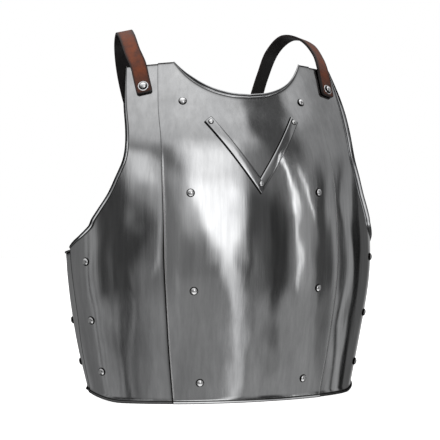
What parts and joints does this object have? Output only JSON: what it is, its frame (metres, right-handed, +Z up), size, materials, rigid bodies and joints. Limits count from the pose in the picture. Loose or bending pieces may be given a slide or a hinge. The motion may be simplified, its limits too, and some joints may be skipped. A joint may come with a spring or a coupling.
{
  "type": "steel cuirass breastplate",
  "caption": "Polished steel breastplate of riveted plates with turned-out neck and armhole edges, a raised V rib on the chest and two leather shoulder straps that cross behind",
  "frame": {"origin": "middle of the bounding box in X and Y, at the lowest edge of the front plates in Z", "axes": "+Z up from the hem to the shoulders, the front of the breastplate faces -Y, +X is the wearer's left"},
  "size_m": [0.4216, 0.2304, 0.4634],
  "materials": {
    "plate_steel": "polished sheet steel with fine vertical brush marks, mirror-like streaks and bright turned edges",
    "rivet_steel": "bright domed rivet heads and washers",
    "strap_leather": "red-brown oiled strap leather, dark worn edges, near-black flesh side"
  },
  "bodies": {
    "root": {"centre_plate": "plate_steel", "v_rib": "plate_steel", "side_plate_left": "plate_steel", "underarm_plate_left": "plate_steel", "shoulder_strap_left": "strap_leather", "strap_washer_left": "rivet_steel", "side_plate_right": "plate_steel", "underarm_plate_right": "plate_steel", "shoulder_strap_right": "strap_leather", "strap_washer_right": "rivet_steel", "centre_rivet_left_1": "rivet_steel", "centre_rivet_left_2": "rivet_steel", "centre_rivet_left_3": "rivet_steel", "centre_rivet_left_4": "rivet_steel", "side_rivet_left_1": "rivet_steel", "side_rivet_left_2": "rivet_steel", "side_rivet_left_3": "rivet_steel", "rear_rivet_left_1": "rivet_steel", "rear_rivet_left_2": "rivet_steel", "strap_rivet_left": "rivet_steel", "centre_rivet_right_1": "rivet_steel", "centre_rivet_right_2": "rivet_steel", "centre_rivet_right_3": "rivet_steel", "centre_rivet_right_4": "rivet_steel", "side_rivet_right_1": "rivet_steel", "side_rivet_right_2": "rivet_steel", "side_rivet_right_3": "rivet_steel", "rear_rivet_right_1": "rivet_steel", "rear_rivet_right_2": "rivet_steel", "strap_rivet_right": "rivet_steel", "v_rivet_left": "rivet_steel", "v_rivet_right": "rivet_steel", "v_rivet_tip": "rivet_steel"}
  },
  "joints": []
}
